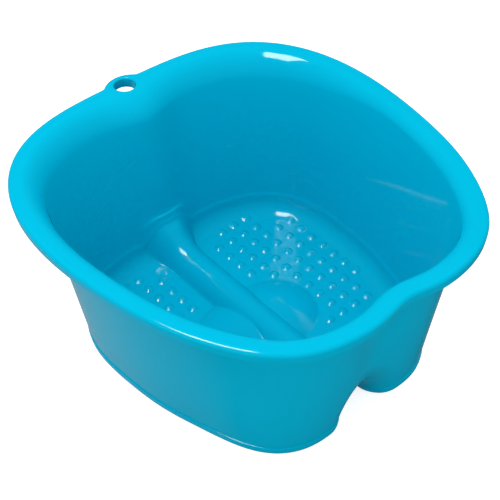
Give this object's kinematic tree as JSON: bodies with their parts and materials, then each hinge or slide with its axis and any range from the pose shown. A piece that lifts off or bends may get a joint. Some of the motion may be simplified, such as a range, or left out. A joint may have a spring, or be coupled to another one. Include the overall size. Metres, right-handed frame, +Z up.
{
  "type": "pedicure foot bath",
  "caption": "Thin-walled plastic soaking tub with a rolled rim and hanging tab, and two foot wells with massage nubs and arch domes split by a divider ridge.",
  "frame": {"origin": "centre of the tub's overall box, on the floor it stands on", "axes": "+Z up, +Y from the waisted front edge to the hanging tab at the back, +X to the right seen from the front"},
  "size_m": [0.3712, 0.4004, 0.178],
  "materials": {
    "shell": "gloss, turquoise blue",
    "floor": "gloss, turquoise blue"
  },
  "bodies": {
    "root": {"rim_flange": "shell", "hanging_tab": "shell", "side_wall": "shell", "foot_band": "shell", "divider_ridge": "floor", "back_shelf": "floor", "well_floor_left": "floor", "well_floor_right": "floor", "arch_dome_left": "floor", "arch_dome_right": "floor", "massage_nubs_left": "floor", "massage_nubs_right": "floor"}
  },
  "joints": []
}
